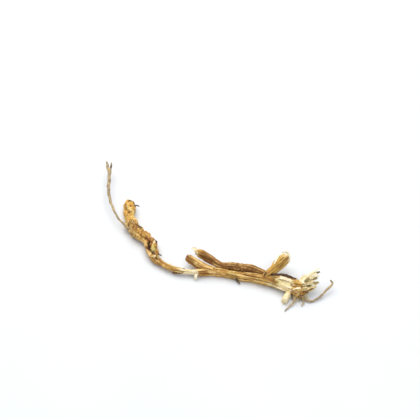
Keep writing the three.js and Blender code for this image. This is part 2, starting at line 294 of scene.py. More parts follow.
def ribs(limb, s, a):
    """How deep the furrows between the ribs are at s along a limb and angle a round it."""
    sides = 2 * limb["ridges"]
    u = (a - limb["twist"] * s) * sides / (2 * math.pi)
    valley = 2 * np.floor(u / 2) + 1
    wander = 0.12 * np.sin(0.21 * s + 1.7 * np.mod(valley, sides)) * sides / (2 * math.pi)
    off = np.clip(np.abs(u - valley - 0.6 * wander), 0, 1)
    depth = limb["furrow"] * (0.65 + 0.45 * np.sin(0.33 * s + 2.1 * np.mod(valley, sides)))
    return depth * 0.5 * (1 + np.cos(math.pi * off))


def bareness(limb, s, a):
    """How bare of bark a limb is, from 0 to 1."""
    most = np.zeros(np.broadcast(s, a).shape)
    ragged = 1.1 * np.sin(5 * a + 0.7) + 0.7 * np.sin(11 * a) + 0.5 * np.sin(19 * a + 2)
    for start, end, degrees, spread in limb["bare"]:
        lengthwise = ramp(start - 0.5, start + 0.5, s + ragged)
        lengthwise = lengthwise * (1 - ramp(end - 0.4, end + 0.4, s + 0.4 * ragged))
        half = math.radians(spread)
        round_it = 1 - ramp(half - 0.2, half + 0.2, np.abs(turn(a, math.radians(degrees))))
        if spread >= 180:
            round_it = 1
        most = np.maximum(most, lengthwise * round_it)
    return most


def skin(limb, radius, s, a):
    """The skin's distance from the middle of a limb."""
    ovals = 1 + 0.07 * np.cos(2 * a + 0.06 * s) + 0.05 * np.cos(3 * a - 0.09 * s + 1)
    r = radius * ovals - ribs(limb, s, a) - BARK * bareness(limb, s, a)
    for at, degrees, width, height in limb["lumps"]:
        across = radius * turn(a, math.radians(degrees))
        r = r + height * np.exp(-((s - at) ** 2 + across**2) / width**2)
    return np.maximum(r, 0.3 * radius)


def tube(rings, first, last):
    """Points and faces of a closed tube from rings of points, with one point at each end."""
    count, sides = rings.shape[:2]
    points = np.vstack([first[None], rings.reshape(-1, 3), last[None]])
    at = 1 + np.arange(count * sides).reshape(count, sides)
    after = np.roll(at, -1, axis=1)
    quads = np.stack([at[:-1], after[:-1], after[1:], at[1:]], axis=-1).reshape(-1, 4).tolist()
    end = len(points) - 1
    caps = [(0, int(b), int(a)) for a, b in zip(at[0], after[0])]
    caps += [(end, int(a), int(b)) for a, b in zip(at[-1], after[-1])]
    return points, quads + caps


def sweep(limb, sides=112, step=0.3):
    """A fine closed skin round a limb."""
    path = Path(limb["points"])
    s = np.linspace(0.01, path.length - 0.01, int(path.length / step))
    centre, ahead, top, side, radius = path.frames(s)
    a = np.linspace(0, 2 * math.pi, sides, endpoint=False)
    grid_s, grid_a = s[:, None], a[None, :]
    close = np.minimum(np.minimum(s / limb["head"], (path.length - s) / limb["tail"]), 1)
    r = skin(limb, radius[:, None], grid_s, grid_a) * np.sqrt(1 - (1 - close[:, None]) ** 2)
    rings = (
        centre[:, None]
        + (r * np.cos(grid_a))[..., None] * top[:, None]
        + (r * np.sin(grid_a))[..., None] * side[:, None]
    )
    return tube(rings, centre[0] - 0.02 * ahead[0], centre[-1] + 0.02 * ahead[-1])


def merged(solids):
    """One list of points and faces from several."""
    points, faces, start = [], [], 0
    for some, made in solids:
        points.append(some)
        faces += [tuple(start + i for i in face) for face in made]
        start += len(some)
    return np.vstack(points), faces


def new_object(name, points, faces):
    """A mesh object from points in millimetres."""
    mesh = bpy.data.meshes.new(name)
    mesh.from_pydata(((points + CAD_SHIFT) * MM).tolist(), [], faces)
    mesh.validate()
    mesh.polygons.foreach_set("use_smooth", [True] * len(mesh.polygons))
    made = bpy.data.objects.new(name, mesh)
    bpy.context.scene.collection.objects.link(made)
    return made


def points_of(made):
    """An object's points in millimetres."""
    flat = np.zeros(len(made.data.vertices) * 3)
    made.data.vertices.foreach_get("co", flat)
    return flat.reshape(-1, 3) / MM - CAD_SHIFT


def set_points(made, points):
    """Moves an object's points, and keeps them above the floor."""
    points[:, 2] = np.maximum(points[:, 2], 0)
    made.data.vertices.foreach_set("co", ((points + CAD_SHIFT) * MM).ravel())
    made.data.update()


def normals_of(made):
    flat = np.zeros(len(made.data.vertices) * 3)
    made.data.vertices.foreach_get("normal", flat)
    return flat.reshape(-1, 3)


def smoothed(made, values, rounds):
    """values at the vertices, each averaged with its neighbours some rounds over."""
    edges = np.zeros(len(made.data.edges) * 2, int)
    made.data.edges.foreach_get("vertices", edges)
    a, b = edges.reshape(-1, 2).T
    count = len(made.data.vertices)
    near = np.bincount(a, minlength=count) + np.bincount(b, minlength=count) + 1
    values = values.reshape(count, -1)
    for _ in range(rounds):
        columns = [
            (c + np.bincount(a, c[b], count) + np.bincount(b, c[a], count)) / near for c in values.T
        ]
        values = np.stack(columns, axis=-1)
    return values.squeeze()


def store(made, name, values):
    """Keeps numbers, or vectors, at the vertices for the material to read."""
    kind, key = ("FLOAT_VECTOR", "vector") if values.ndim == 2 else ("FLOAT", "value")
    attribute = made.data.attributes.new(name, kind, "POINT")
    attribute.data.foreach_set(key, values.astype(np.float32).ravel())


def rough(places, octaves=3):
    """Smooth noise from about -1 to 1 at each place."""
    return np.array([noise.fractal(Vector(p), 0.8, 2.0, octaves) for p in places])


def joined(name, solids):
    """One closed skin round all the solids."""
    made = new_object(name, *merged(solids))
    remesh = made.modifiers.new("join", "REMESH")
    remesh.mode = "VOXEL"
    remesh.voxel_size = VOXEL * MM
    remesh.use_smooth_shade = True
    graph = bpy.context.evaluated_depsgraph_get()
    mesh = bpy.data.meshes.new_from_object(made.evaluated_get(graph))
    made.modifiers.clear()
    made.data = mesh
    return made


def limb_places(points):
    """The limb that each point lies on, distance along, angle and radius, and the next limb's gap."""
    best = np.full(len(points), np.inf)
    second = np.full(len(points), np.inf)
    found = np.zeros((len(points), 4))
    for number, limb in enumerate(LIMBS):
        path = Path(limb["points"])
        s = np.linspace(0, path.length, int(path.length / 0.5))
        centre, ahead, top, side, radius = path.frames(s)
        for start in range(0, len(points), CHUNK):
            part = slice(start, start + CHUNK)
            away = np.linalg.norm(points[part, None] - centre[None], axis=-1) - radius
            nearest = away.argmin(axis=1)
            distance = away[np.arange(len(away)), nearest]
            offset = points[part] - centre[nearest]
            place = np.stack(
                [
                    np.full(len(away), number),
                    s[nearest] + (offset * ahead[nearest]).sum(-1),
                    np.arctan2((offset * side[nearest]).sum(-1), (offset * top[nearest]).sum(-1)),
                    radius[nearest],
                ],
                axis=-1,
            )
            closer = distance < best[part]
            found[part] = np.where(closer[:, None], place, found[part])
            second[part] = np.where(closer, best[part], np.minimum(second[part], distance))
            best[part] = np.where(closer, distance, best[part])
    return *found.T, second


def scales(places):
    """The distance of each place from the crack between two scales of bark, in cells."""
    found = [noise.voronoi(Vector(p))[0] for p in places]
    return np.array([second - first for first, second, *_ in found])


def spots(places, marks):
    """The sum of soft round spots (x, y, size, strength) seen from above."""
    total = np.zeros(len(places))
    for x, y, size, strength in marks:
        away = (places[:, 0] - x) ** 2 + (places[:, 1] - y) ** 2
        total += strength * np.exp(-away / size**2)
    return total


def strokes(places, marks):
    """The sum of soft strokes (x, y, to x, to y, width, height) seen from above."""
    total = np.zeros(len(places))
    for x, y, to_x, to_y, width, height in marks:
        start, run = np.array([x, y]), np.array([to_x - x, to_y - y])
        share = np.clip((places[:, :2] - start) @ run / (run @ run), 0, 1)
        away = np.linalg.norm(places[:, :2] - start - share[:, None] * run, axis=-1)
        total += height * np.exp(-((away / width) ** 2))
    return total


# Barked body
# PITS and CRESTS are strokes in the bark's upper side. The next list holds strokes of painted shade in its
# pits and holes, PALE holds strokes of pale wood on it, and the rest are spots of colour.
PITS = [
    (-49.4, 16.2, -48.2, 14, 0.9, 0.4),
    (-48.8, 24.5, -48.2, 26, 1, 0.4),
    (-46.4, 24, -45.5, 21, 0.9, 0.4),
    (-49.2, 6.7, -47.6, 1.9, 0.9, 0.4),
    (-42.9, 3.2, -41.4, 0, 1.2, 0.6),
    (-45.6, 0.4, -43.6, -1.2, 0.8, 0.4),
    (-32.8, -8, -32.2, -10.4, 1, 0.4),
    (-36.1, -11.3, -35.7, -14.2, 0.9, 1.0),
    (-35.9, -14.8, -34.9, -16.8, 0.8, 0.4),
    (-34, -18.4, -33.1, -18.9, 0.9, 0.7),
    (-33.4, -22.6, -31.8, -24.4, 0.6, 0.4),
    (33.2, -43.2, 35.6, -44.6, 0.7, 0.4),
]
# Painted shade in the pits and holes of the bark.
PIT_SHADES = [
    (-48.9, 24, -48.3, 26, 1.0, 1.0),
    (-46.2, 24.6, -45.4, 21.4, 0.9, 1.0),
    (-42.6, 1.8, -41.2, -0.6, 1, 1.2),
    (-32.4, -7.4, -31.6, -9.6, 1, 1.1),
    (-36.1, -12.4, -35.8, -14, 0.8, 0.7),
    (-35.6, -15, -35, -16.6, 0.7, 0.6),
    (28.6, -39.1, 29.3, -38.6, 0.8, 1.2),
]
PALE = [
    (36.5, -44.8, 42.6, -47.4, 1.6, 1.2),
    (35.5, -43.4, 39, -44.4, 1, 0.8),
]
# Crests stand up from the bark and carry pale wood with painted highlight.
CRESTS = [
    (-49.8, 20, -47.8, 15.6, 1.1, 0.7),
    (-46.8, 15.2, -45.6, 8.5, 1.1, 0.6),
    (-49.2, 12.2, -47.1, 9.9, 0.7, 0.4),
    (-46.4, 4.5, -44.5, 3.3, 0.6, 0.6),
    (-46, -4, -43.4, -6.3, 0.8, 0.45),
    (-34.8, -9.1, -33.9, -10.1, 0.6, 0.5),
    (-33, -11.7, -33.2, -17.6, 0.9, 0.85),
    (-31.4, -17.6, -30.4, -18.4, 0.6, 0.5),
    (-38.1, -12.3, -37.3, -17.4, 0.9, 0.35),
    (-36, -20.6, -32.1, -22.4, 0.8, 0.55),
    (-32.1, -22.4, -29.4, -23.5, 0.8, 0.55),
]
GOLD = [
    (-47.2, 22.5, 5, 1.2),
    (-48.6, 15, 5, 1.0),
    (-45.6, 9, 3, 0.8),
    (-44, 0.4, 2.5, 0.5),
    (-33, -15.6, 2.6, 1.4),
    (-7, -22, 2.4, 1.0),
    (45, -44, 3, 1.0),
    (45.8, -48, 2.4, 0.8),
    (10, -37, 6, 0.3),
    (32, -45, 7, 0.6),
    (36.5, -31.5, 3.5, 1.0),
    (33, -36, 3, 0.8),
    (-24, -29, 5, 0.4),
    (-36, -13, 4, 0.5),
    (-41, -3, 4, 0.4),
]
RED = [
    (-14, -23.4, 2.2, 1.0),
    (-46.6, 20, 2.6, 0.6),
    (-48.6, 14.6, 1.8, 0.6),
    (-44.4, -0.2, 2, 1.1),
    (-35.4, -9.6, 1.8, 0.7),
    (-32.2, -9.4, 2, 1.3),
    (-35.2, -16, 2.2, 0.9),
    (-2, -26, 4, 0.5),
    (31, -39, 3, 0.5),
    (33.2, -43.4, 1.8, 1.0),
    (-35, -14, 4, 0.4),
]
OLIVE = [
    (11, -38.4, 3, 1.0),
    (34.2, -41.4, 1.4, 1.0),
    (35, -44.8, 1.8, 1.0),
    (-9, -27.5, 3, 0.35),
    (-22, -30.4, 5, 0.35),
    (27, -41, 6, 0.3),
    (-48.6, 4, 2.4, 0.7),
    (-45.4, -4.2, 2, 0.8),
    (-33, -16.5, 2, 1.0),
    (37, -31, 6, 0.5),
    (-4, -27, 3, 0.4),
    (46, -47.4, 2.5, 0.4),
    (-31, -23, 3, 0.5),
]

# Spots where the seam between two limbs is lost, and where the knot is smoother
LOST_SEAMS = [(-2, -32, 5, 1.5), (29, -39.5, 4, 1.4)]
CALM = [(-40.5, -4.5, 4, 1.2), (-48.1, 21.2, 1.6, 1.4)]
# Wrinkled waists are (distance along MAIN, spread).
WAISTS = [(18.5, 3), (33, 4.5)]

body = joined("barked_body", [sweep(limb) for limb in LIMBS])
place = points_of(body)
set_points(body, smoothed(body, place, 1))
place = points_of(body)
number, s, a, radius, gap = limb_places(place)
on_main, on_strand, on_branch, on_peg = (
    number == LIMBS.index(limb) for limb in (MAIN, STRAND, RIGHT_BRANCH, PEG)
)
# seam is where two limbs meet: a small groove, and painted shade in the material.
seam = (1 - ramp(0.2, 1.1, gap)) * np.where(on_peg | (s > WOOD_START), 0.3, 1.0)
seam = seam * (1 - np.clip(spots(place, LOST_SEAMS), 0, 1))
bent = place + 0.9 * np.stack([rough(place / 1.8 + 7 * i, 2) for i in range(3)], axis=-1)
grain = np.stack([np.cos(a) * radius, np.sin(a) * radius, s + 200 * number], axis=-1)
knot = np.where(on_main, 1 - ramp(KNOT_END - 4, KNOT_END + 4, s), 0.0)
calm = 1 - 0.6 * np.clip(spots(place, CALM), 0, 1)
warty = ramp(WARTY[0], WARTY[0] + 2, s) * (1 - ramp(WARTY[1] - 2, WARTY[1], s)) * on_strand
warty = warty + 0.7 * ramp(NODE_START - 1, NODE_START + 1, s) * on_main
bare = np.zeros(len(place))
furrow = np.zeros(len(place))
for i, limb in enumerate(LIMBS):
    bare = np.where(number == i, bareness(limb, s, a), bare)
    furrow = np.where(number == i, ribs(limb, s, a) / limb["furrow"], furrow)

streaks = 1 - 2 * np.abs(rough(grain * [1 / 1.7, 1 / 1.7, 1 / 18]))
threads = rough(grain * [1 / 0.5, 1 / 0.5, 1 / 8], 2)
bends = rough(place / 5 + 3, 2)
flakes = rough(place / 1.7, 3)
grit = rough(place / 0.8, 2)
warped = place + 1.2 * np.stack([bends, flakes, -bends], axis=-1)
gnarls = 1 - 2 * np.abs(rough(warped * [1 / 3.4, 1 / 4.2, 1 / 3.4]))
wrinkles = 1 - 2 * np.abs(rough(grain * [1 / 3.5, 1 / 3.5, 1 / 1.3] + 0.5 * bends[:, None], 2))
scabs = 1 - 2 * np.abs(rough(grain * [1 / 1.7, 1 / 1.7, 1 / 3.4] + 0.5 * bends[:, None] + 9, 2))
crack = 1 - ramp(0.02, 0.22, scales(place / 2.4 + 0.3 * np.stack([flakes, grit, flakes], axis=-1)))
waist = sum(np.exp(-(((s - at) / spread) ** 2)) for at, spread in WAISTS)
upper = ramp(0.0, 0.5, normals_of(body)[:, 2])
# Each kind of roughness stands off the skin by its own height.
relief = (1 - knot) * (0.26 * streaks + 0.1 * threads + 0.25 * bends)
relief += knot * calm * (0.65 * bends + 0.34 * gnarls + 0.24 * scabs + 0.16 * flakes + 0.1 * grit)
relief += knot * 0.35 * waist * wrinkles
relief += 0.12 * bare * (threads + streaks) * ~on_peg
relief += warty * (0.4 * np.abs(grit) + 0.15 - 0.25 * crack)
relief -= 0.25 * seam * (1 - warty)
relief += upper * (strokes(bent, CRESTS) - strokes(bent, PITS))
set_points(body, place + normals_of(body) * relief[:, None])

place = points_of(body)
normal = normals_of(body)
# How far the skin sinks in, broadly and closely. The material paints shade into the hollows and creases.
hollow = ((smoothed(body, place, 40) - place) * normal).sum(-1)
crease = ((smoothed(body, place, 8) - place) * normal).sum(-1)
store(body, "grain", grain)
store(body, "bare", bare)
store(body, "furrow", furrow * (1 - 0.7 * knot) * np.where(on_branch, 0.45, 1.0))
store(body, "hollow", smoothed(body, hollow, 1))
store(body, "crease", smoothed(body, crease, 1))
store(body, "seam", seam)
store(body, "knot", knot * calm)
# The strand is browner in its granular stretch, its own colour, and has painted shade on the side that faces
# front.
shade = ramp(3, 6, s) * (0.75 + 0.4 * ramp(19, 24, s)) * (0.35 + 0.75 * ramp(-0.8, 0.6, a))
store(body, "shade", np.where(on_strand, shade, 0.0))
# pit holds painted shade in the pits on the upper side and in the listed holes.
store(body, "pit", np.clip(upper * strokes(bent, PITS) + strokes(bent, PIT_SHADES), 0, 1))
store(body, "gold", spots(bent, GOLD))
store(body, "red", spots(bent, RED))
store(body, "olive", spots(bent, OLIVE))
# pale holds pale wood, and on the upward crests also painted highlight.
store(body, "pale", upper * strokes(bent, CRESTS) + strokes(bent, PALE))


# Strips of torn wood and bark
def strip(points, thick, cup=0.25, ragged=0.0, up=UP, step=0.5):
    """A thin tapering strip, a little cupped; the fourth number of a point is its width."""
    path = Path(points)
    s = np.linspace(0, path.length, max(6, int(path.length / step)))
    centre, ahead, top, side, width = path.frames(s, up)
    across = np.array([-1, -0.55, 0, 0.55, 1, 0.8, 0.3, -0.3, -0.8])
    upward = np.array([0.1, 0.42, 0.5, 0.42, 0.1, -0.4, -0.5, -0.5, -0.4])
    sway = ragged * np.sin(s * 2.3 + points[0][0] * 5)[:, None] * width[:, None]
    half = 0.5 * width[:, None] * across[None] + sway
    lift = thick * upward[None] + cup * width[:, None] * (across[None] ** 2 - 0.4)
    lift = lift * ramp(-0.2, 0.1, (path.length - s) / path.length)[:, None]
    rings = centre[:, None] + half[..., None] * side[:, None] + lift[..., None] * top[:, None]
    return tube(rings[:, ::-1], centre[0], centre[-1])


def striped(name, strips, tones):
    """One object from strips, kept above the floor. Each has its own tone.

    It also stores how far along its strip each point is.
    """
    points, faces = merged(strips)
    points[:, 2] = np.maximum(points[:, 2], 0)
    made = new_object(name, points, faces)
    sizes = [len(points) for points, _ in strips]
    store(made, "tone", np.repeat(tones, sizes).astype(float))
    store(made, "along", np.concatenate([np.linspace(0, 1, size) for size in sizes]))
    return made


# Frayed crown
# Splinters are (points, tone). The tone is 0 or less for weathered wood that also stands for painted shade
# between the pale strips, and about 1 for fresh wood.
SPLINTERS = [
    ([(44.8, -46.4, 4.6, 1.8), (52.5, -41.7, 8.2, 1.4), (58.5, -37.6, 10, 0.9)], 1),
    ([(45.4, -45.6, 4.2, 2), (53.8, -40.4, 7, 1.6), (59, -39, 8.4, 1.1)], -0.5),
    ([(45, -46.4, 5, 2), (53.1, -42.1, 8, 1.5), (57, -40.7, 9, 1.1)], 0.8),
    ([(45, -46.8, 4.6, 1.6), (53.6, -43, 7.4, 1.1), (58.4, -41.3, 8, 0.8)], 1),
    ([(45.4, -46.2, 4.6, 2), (53.6, -43.9, 7, 2), (57.3, -42.8, 7.4, 1.3)], -0.1),
    ([(45, -47.4, 5.2, 1.8), (53.4, -45.5, 6.8, 0.9), (58, -41.8, 7.4, 0.6)], 1),
    ([(45.4, -46.4, 4.4, 2.2), (54.2, -45.6, 5.8, 2.2), (58.1, -44.7, 6, 1.3)], 0),
    ([(45, -47.4, 5, 2), (52.7, -46.1, 6.2, 1.4), (56.8, -46.3, 5.4, 0.8)], 0.9),
    ([(45.4, -47.4, 4, 1.8), (52.3, -46.8, 4.8, 1.3), (55.2, -47.2, 4.4, 0.8)], -0.4),
    ([(44.6, -47.8, 4.6, 2), (50.4, -48.4, 5.4, 1.6), (53.1, -48.1, 5, 0.9)], 0.8),
    ([(45, -46.6, 5, 2.2), (49.8, -44.1, 8, 2.3), (51.9, -42.8, 9.4, 1.9)], 0.8),
    ([(46, -47, 5.6, 0.9), (50.6, -45.9, 7.9, 0.8), (52.9, -44.8, 8.7, 0.5)], -0.6),
    ([(45, -45.6, 5, 1), (48.5, -43.2, 7.8, 0.6), (49.9, -41.6, 9.4, 0.3)], 1.1),
    ([(50.6, -47, 5.2, 1), (53.4, -43.7, 8.6, 0.8), (53.8, -41.7, 10.4, 0.7)], 1),
    ([(44.6, -45.8, 5.8, 2.6), (48.2, -46.2, 7.7, 2.8), (50.6, -46.6, 7.4, 1.8)], 1.0),
]
SPLINTER_THICK = 0.7
FAN_ROOT = np.array([45.5, -46.5, 4.4])
FAN_WIDTH = 5.4
FAN_TURN = (-8, 26)  # degrees round from +X
FAN_RISE = (2, 26)  # degrees
WIDE_COUNT = 8
FINE_COUNT = 16


def fan(count, widths, lengths):
    """Splinters that fan out of the torn end."""
    made = []
    for _ in range(count):
        share = rng.random()
        heading = math.radians(FAN_TURN[0] + (FAN_TURN[1] - FAN_TURN[0]) * share)
        rise = math.radians(rng.uniform(*FAN_RISE))
        reach = rng.uniform(*lengths) * (1 - 0.3 * abs(share - 0.5))
        level = np.array([math.cos(heading), math.sin(heading), 0])
        way = level * math.cos(rise) + UP * math.sin(rise)
        across = np.array([-level[1], level[0], 0])
        start = FAN_ROOT + across * FAN_WIDTH * (share - 0.5) + UP * rng.uniform(-1.6, 1.4)
        width = rng.uniform(*widths)
        bow = rng.normal(0, 0.45, 3)
        points = [
            (*(start - 0.5 * way), width * 1.2),
            (*(start + 0.35 * reach * way + 0.5 * bow), width * 1.1),
            (*(start + 0.7 * reach * way + bow), width),
            (*(start + reach * way), width * 0.75),
        ]
        thick = 0.25 + 0.2 * width
        made.append(strip(points, thick, cup=rng.uniform(-0.2, 0.3), ragged=0.08))
    return made


broad_splinters = [strip(points, SPLINTER_THICK, ragged=0.06) for points, _ in SPLINTERS]
wide_splinters = fan(WIDE_COUNT, widths=(0.8, 1.4), lengths=(7.5, 12.5))
fine_splinters = fan(FINE_COUNT, widths=(0.22, 0.5), lengths=(6, 13.5))
splinter_tones = [
    [tone for _, tone in SPLINTERS],
    np.where(rng.random(WIDE_COUNT) < 0.55, -0.1, 0.75),
    rng.uniform(-0.2, 0.8, FINE_COUNT),
]
crown = striped(
    "frayed_crown",
    broad_splinters + wide_splinters + fine_splinters,
    np.concatenate(splinter_tones),
)


# Rootlets
def rootlet(points, sides=10, step=0.35):
    """A thin wavy root that tapers to a round tip."""
    path = Path(points)
    s = np.linspace(0, path.length, max(8, int(path.length / step)))
    centre, ahead, top, side, radius = path.frames(s)
    a = np.linspace(0, 2 * math.pi, sides, endpoint=False)[None]
    wave = 1 + 0.1 * np.sin(3 * s + 2)[:, None] * np.cos(a) + 0.08 * np.sin(0.9 * s)[:, None]
    wave = wave + 0.1 * np.cos(3 * a + 0.4 * s[:, None])
    close = np.sqrt(np.clip((path.length - s) / 0.5, 0.02, 1))
    r = radius[:, None] * wave * close[:, None]
    drift = 0.12 * np.sin(0.8 * s)[:, None] * side
    rings = (centre + drift)[:, None] + (r * np.cos(a))[..., None] * top[:, None]
    rings = rings + (r * np.sin(a))[..., None] * side[:, None]
    return tube(rings, centre[0], centre[-1] + drift[-1])


ROOTLET_TONES = [0.5, 0.3, 0.4, 0.4, 0.6, 0.05, 0.05, 0.05]  # in the order of ROOTLETS
rootlets = striped("rootlets", [rootlet(points) for points in ROOTLETS], ROOTLET_TONES)


# Shreds of bark and wood
RAG_THICK = 0.36


def rags(limb, at, way, count, length, width=1.2, facing=0.0, spread=math.pi, curl=0.5):
    """Torn teeth round a limb, that curl outwards at a place along it.

    They run forwards where way is 1, and back where it is -1. facing and spread are in radians.
    """
    path = Path(limb["points"])
    made = []
    for i in range(count):
        a = facing + spread * (2 * (i + rng.random()) / count - 1)
        reach = length * rng.uniform(0.5, 1.3)
        steps = way * reach * np.array([-0.8, 0.0, 0.6, 1.0])
        where = np.clip(at + steps, 0, path.length)
        centre, ahead, top, side, radius = path.frames(where)
        outward = math.cos(a) * top + math.sin(a) * side
        lift = np.array([-0.45, 0.0, 0.35, 0.8]) * curl
        middle = centre + (skin(limb, radius, where, a) + lift)[:, None] * outward
        middle += ahead * (steps - (where - at))[:, None]
        widths = width * rng.uniform(0.6, 1.2) * np.array([1.1, 1.0, 0.7, 0.25])
        points = np.hstack([middle, widths[:, None]]).tolist()
        made.append(strip(points, RAG_THICK, cup=0.1, ragged=0.1, up=outward[1], step=0.3))
    return made


# Shreds are (thickness, tone, points). The tone is 0 or less for dark bark and about 1 for pale wood.
SHREDS = [
    (0.7, 0.9, [(32.5, -40.6, 5, 2), (37, -42.1, 6.9, 2.3), (41.5, -44.3, 7.4, 2), (44, -45.6, 7, 1.2)]),
    (0.7, 0.9, [(31, -41.8, 3.8, 2.2), (36, -45.6, 3.4, 2), (41.5, -48.6, 2.8, 1.2)]),
    (0.7, -0.25, [(32.4, -39.4, 6.4, 1.8), (39.4, -40.2, 6.9, 2), (45.9, -42.8, 6.5, 1.2)]),
    (0.8, 0.85, [(-5, -23.4, 7, 2.4), (-9, -20.8, 7.8, 2.6), (-11, -19.2, 8.2, 1.5)]),
    (
        0.5,
        1.5,
        [(31.4, -38.8, 5.4, 0.4), (34.7, -33.4, 10.3, 0.8), (35.9, -31, 11, 1), (37.3, -28.7, 11.5, 0.5)],
    ),
    (
        0.5,
        1,
        [(42.6, -49.4, 4.2, 0.6), (44.8, -50.5, 6.8, 1.1), (46.2, -50.9, 7.5, 1.3), (47.8, -50.6, 7.5, 0.9)],
    ),
    (
        0.5,
        1,
        [(40.8, -25.4, 10.9, 0.6), (42.5, -26.9, 10.4, 1.1), (43.2, -28.4, 9, 1), (42, -30.5, 6.4, 0.5)],
    ),
    (0.5, 1, [(39.2, -25.4, 10.4, 0.5), (41.2, -25.3, 11.1, 0.9), (42.8, -26.1, 10.4, 0.5)]),
    (0.7, 1, [(-8.4, -34, 3.6, 2), (-8.9, -36.6, 2.2, 1.6), (-9.2, -37.2, 0.9, 0.8)]),
    (0.6, 0.2, [(-13.5, -32.7, 2, 1.6), (-18.5, -33, 1.9, 1.4), (-22, -32.2, 1.2, 0.7)]),
]
# Sets of rags are (rags, darkest tone, palest tone).
rag_sets = [
    (rags(MAIN, 81.6, way=-1, count=9, length=1.6), 0.6, 0.9),
    (rags(MAIN, 72, way=1, count=7, length=2.4), 0.1, 0.4),
    (rags(STRAND, 2.2, way=-1, count=8, length=1.4, width=1.1), 0.5, 0.9),
    (rags(RIGHT_BRANCH, 19.4, way=1, count=12, length=1.2, width=1.0), 0.8, 1.1),
    (rags(MAIN, 126, way=1, count=6, length=3.2, facing=1.2, spread=1.6), 0.2, 0.5),
    (rags(MAIN, 137.4, way=1, count=11, length=3.6, width=1.3, curl=0.2), 0.3, 0.7),
    (rags(MAIN, 140, way=1, count=10, length=3.4, width=1.1, facing=2.2, spread=1.1), 0.2, 0.7),
    (rags(PEG, 9, way=1, count=8, length=1.2, width=0.9), 0.9, 1.1),
]
# The flap under the crown is turned towards the front.
FLAP = [(43, -49, 3.4, 4.6), (48, -49.6, 3.4, 4.2), (52.5, -47.9, 3.6, 2.6), (55, -46.7, 3.8, 1.2)]
FLAP_UP = np.array([0, -0.5, 0.85])
FLAP_TONE = 0.3
flap = strip(FLAP, 1.0, ragged=0.06, up=FLAP_UP)
broad_shreds = [strip(points, thick, ragged=0.05) for thick, _, points in SHREDS]
shreds = striped(
    "bark_shreds",
    [flap, *broad_shreds] + [rag for some, _, _ in rag_sets for rag in some],
    [FLAP_TONE]
    + [tone for _, tone, _ in SHREDS]
    + [rng.uniform(low, high) for some, low, high in rag_sets for _ in some],
)


# Hair-fine fibres
def hairs(limb, count, span, length):
    """Fibres that stand off a limb at random places."""
    path = Path(limb["points"])
    made = []
    for _ in range(count):
        at, a = rng.uniform(*span), rng.uniform(0, 2 * math.pi)
        centre, ahead, top, side, radius = (x[0] for x in path.frames(np.array([at])))
        outward = math.cos(a) * top + math.sin(a) * side
        start = centre + 0.9 * radius * outward
        way = unit(ahead * rng.normal(0, 1) + outward * rng.uniform(0.3, 1) + rng.normal(0, 0.3, 3))
        reach = rng.uniform(*length)
        sag = UP * reach * rng.uniform(0.1, 0.4)
        thick = rng.uniform(0.07, 0.12)
        places = np.array([
            start,
            start + 0.4 * reach * way + rng.normal(0, 0.2, 3),
            start + 0.8 * reach * way - 0.5 * sag,
            start + reach * way - sag,
        ])
        places[:, 2] = np.maximum(places[:, 2], 0.15)
        sizes = thick * np.array([1, 1, 0.8, 0.6])
        made.append(rootlet(np.column_stack([places, sizes]), sides=5, step=0.4))
    return made


TUFT_ROOT = np.array([46.5, -50.5, 2.6])
TUFT_SPREAD = np.array([2, 0.4, 0.5])


def tuft(count):
    """Pale fibres that hang from the node onto the floor."""
    made = []
    for _ in range(count):
        start = TUFT_ROOT + rng.normal(0, 1, 3) * TUFT_SPREAD
        end = np.array([start[0] + rng.normal(0, 2), start[1] - rng.uniform(1.5, 4.5), 0.2])
        middle = 0.5 * (start + end) + 0.5 * UP
        points = [(*start, 0.16), (*middle, 0.14), (*end, 0.08)]
        made.append(rootlet(points, sides=5, step=0.4))
    return made


fibre_list = hairs(MAIN, count=26, span=(2, 56), length=(1.5, 3.5))
fibre_list += hairs(MAIN, count=14, span=(60, 135), length=(1, 2.5))
fibre_list += hairs(MAIN, count=22, span=(137, 142), length=(2, 6))
fibre_list += hairs(STRAND, count=8, span=(1, 40), length=(1, 2.5))
fibre_list += tuft(count=18)
fibres = striped("fine_fibres", fibre_list, rng.uniform(0.5, 1.2, len(fibre_list)))


